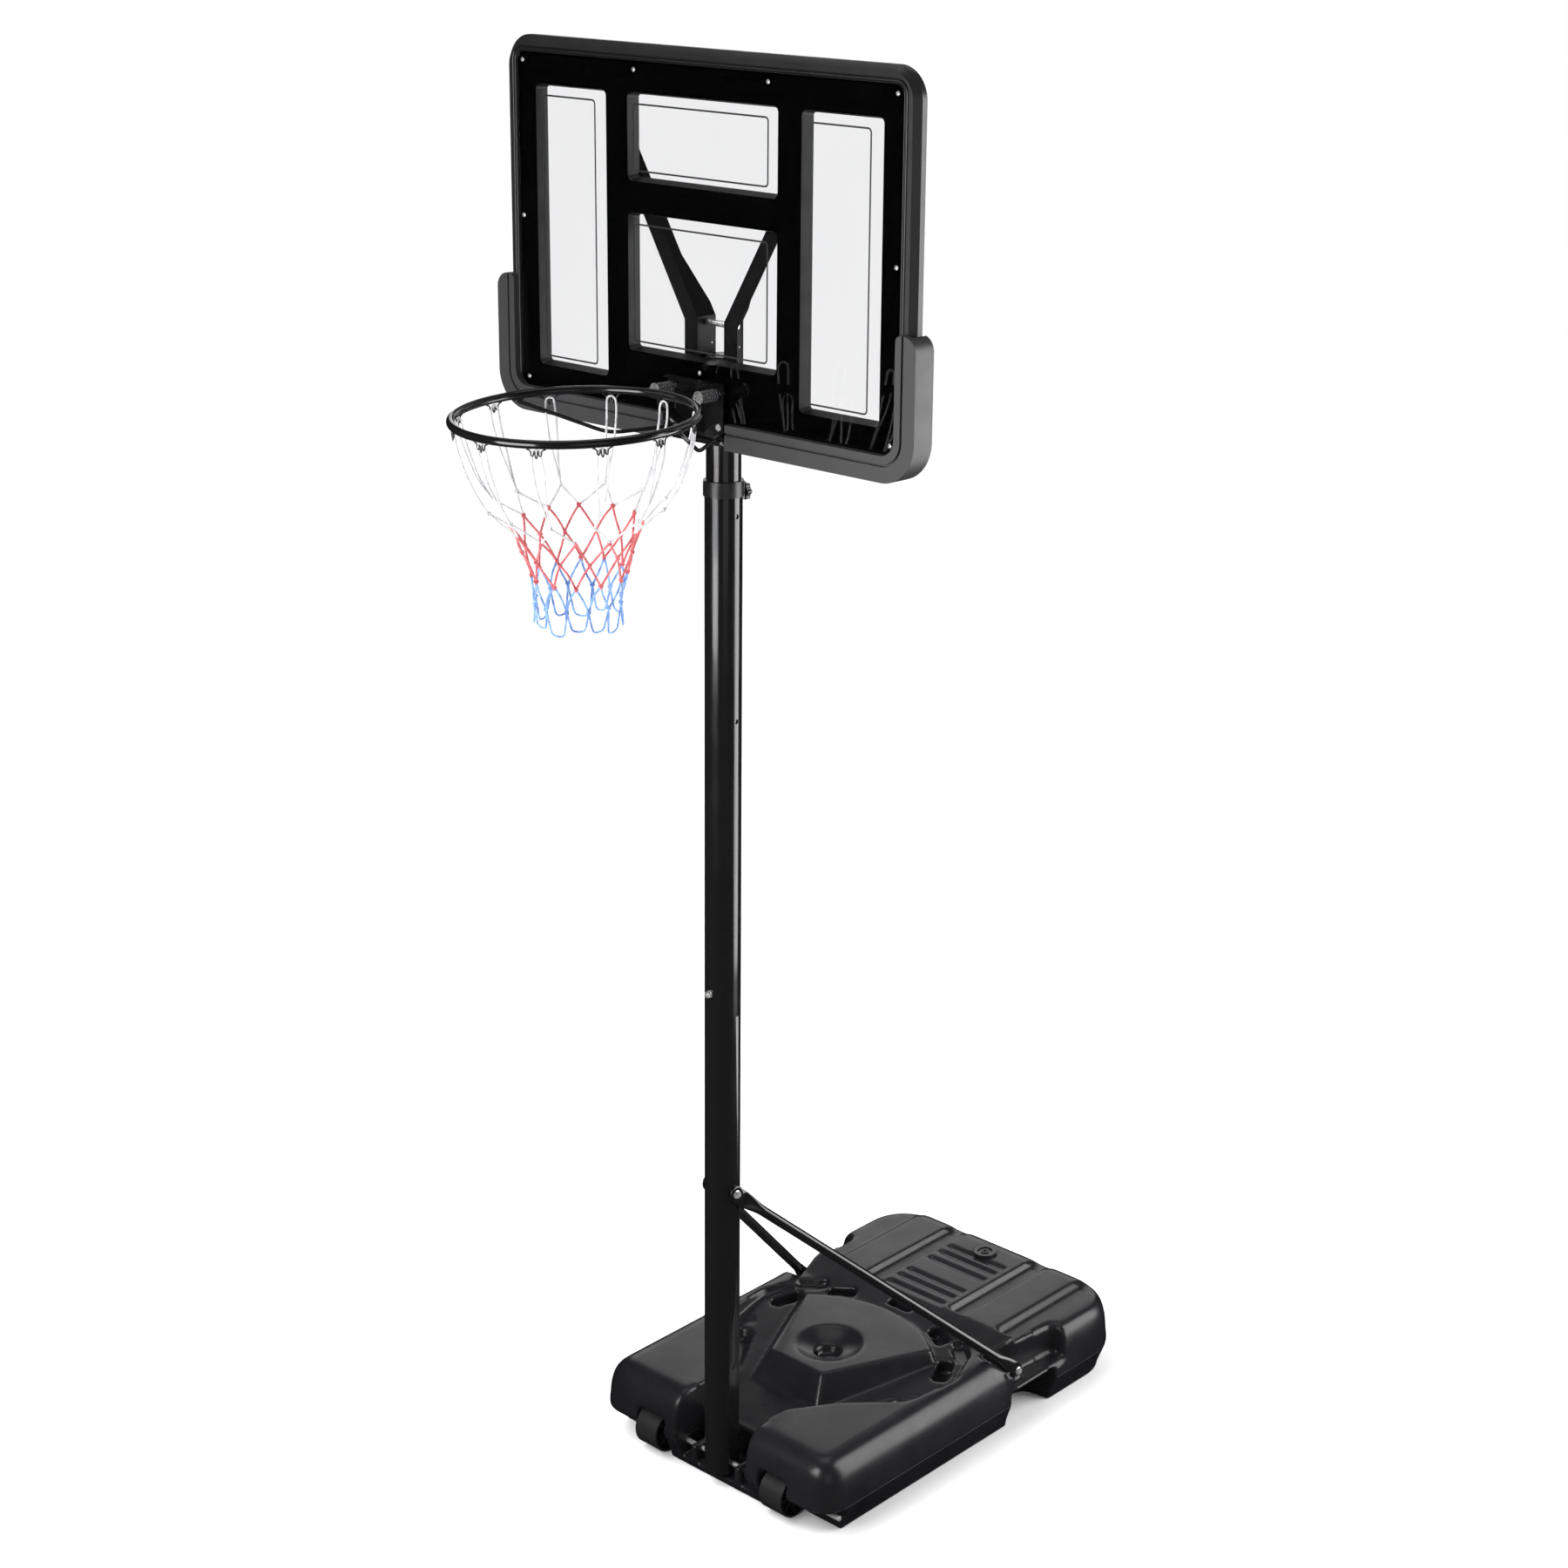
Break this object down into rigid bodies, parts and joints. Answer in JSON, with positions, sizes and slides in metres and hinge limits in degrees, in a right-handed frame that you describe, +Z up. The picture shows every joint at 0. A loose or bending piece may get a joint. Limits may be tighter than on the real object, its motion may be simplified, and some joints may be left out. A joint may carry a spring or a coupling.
{
  "type": "portable basketball hoop",
  "caption": "Free-standing basketball hoop on a wheeled ballast tank, with a telescoping pole, clear-panel backboard and sprung rim with net.",
  "frame": {"origin": "on the floor under the ballast tank, on the symmetry plane and 455 mm behind the wheel axle", "axes": "+Z up, +Y from the rim towards the ballast tank, +X to the right of a player facing the board"},
  "size_m": [1.14, 1.5123, 3.0666],
  "materials": {
    "tank_plastic": "satin moulded",
    "wheel_plastic": "satin moulded",
    "black_steel": "gloss powder coat",
    "zinc_steel": "bright zinc",
    "black_plastic": "satin",
    "frame_plastic": "fine grain",
    "clear_sheet": "clear polished",
    "print_black": "printed line",
    "pad_rubber": "satin",
    "net_cord": "braided",
    "seal_rubber": "matt"
  },
  "bodies": {
    "stand": {"base_tank": "tank_plastic", "cap_gasket": "seal_rubber", "axle_rod": "zinc_steel", "pole_lower": "black_steel", "pole_middle": "black_steel", "pole_foot_cap": "black_plastic", "pole_joint_bolt": "zinc_steel", "collar_sleeve": "black_plastic", "strut_right": "black_steel", "strut_left": "black_steel", "strut_pole_bolt": "zinc_steel", "strut_foot_bolts": "zinc_steel"},
    "filler": {"fill_cap": "black_plastic"},
    "wheel_r": {"wheel_right": "wheel_plastic"},
    "wheel_l": {"wheel_left": "wheel_plastic"},
    "knob": {"locking_knob": "black_plastic", "knob_screw": "zinc_steel"},
    "head": {"pole_top": "black_steel", "pole_guide_bush": "black_plastic", "pole_cap": "black_plastic", "arm_right": "black_steel", "arm_left": "black_steel", "arm_screws": "zinc_steel", "arm_bolts": "zinc_steel", "arm_bend_bolt": "zinc_steel", "arm_spacer": "zinc_steel", "board_frame": "frame_plastic", "board_panel": "clear_sheet", "panel_outlines": "print_black", "panel_screws": "zinc_steel", "edge_pad_right": "pad_rubber", "edge_pad_left": "pad_rubber", "rim_mount_plate": "black_steel", "rim_plate_bolts": "zinc_steel", "rim_hinge_rod": "zinc_steel", "spring_bolts": "zinc_steel", "spring_nuts": "zinc_steel", "spring_right": "black_steel", "spring_left": "black_steel"},
    "rim": {"rim_bracket": "black_steel", "rim_ring": "black_steel", "rim_braces": "black_steel", "net_hooks": "black_steel", "net": "net_cord"}
  },
  "joints": [
    {"name": "pole_height", "type": "slide", "parent": "stand", "child": "head", "axis": [0, 0.0436, 0.999], "range_m": [-0.05, 0.6]},
    {"name": "rim_breakaway", "type": "hinge", "parent": "head", "child": "rim", "pos_m": [0, -0.43495, 2.3323], "axis": [1, 0, 0], "range_deg": [0, 15], "stiffness_Nm_per_rad": 600, "springref_deg": -11.46, "deforming": ["spring_right", "spring_left"]},
    {"name": "knob_turn", "type": "hinge", "parent": "stand", "child": "knob", "pos_m": [0, -0.30494, 2.2015], "axis": [0, 0.999, -0.0436], "continuous": true},
    {"name": "wheel_right_spin", "type": "hinge", "parent": "stand", "child": "wheel_r", "pos_m": [0.188, -0.455, 0.0483], "axis": [1, 0, 0], "continuous": true},
    {"name": "wheel_left_spin", "type": "hinge", "parent": "stand", "child": "wheel_l", "pos_m": [-0.188, -0.455, 0.0483], "axis": [1, 0, 0], "continuous": true},
    {"name": "fill_cap_lift", "type": "slide", "parent": "stand", "child": "filler", "axis": [0, 0, 1], "range_m": [0, 0.06]}
  ]
}
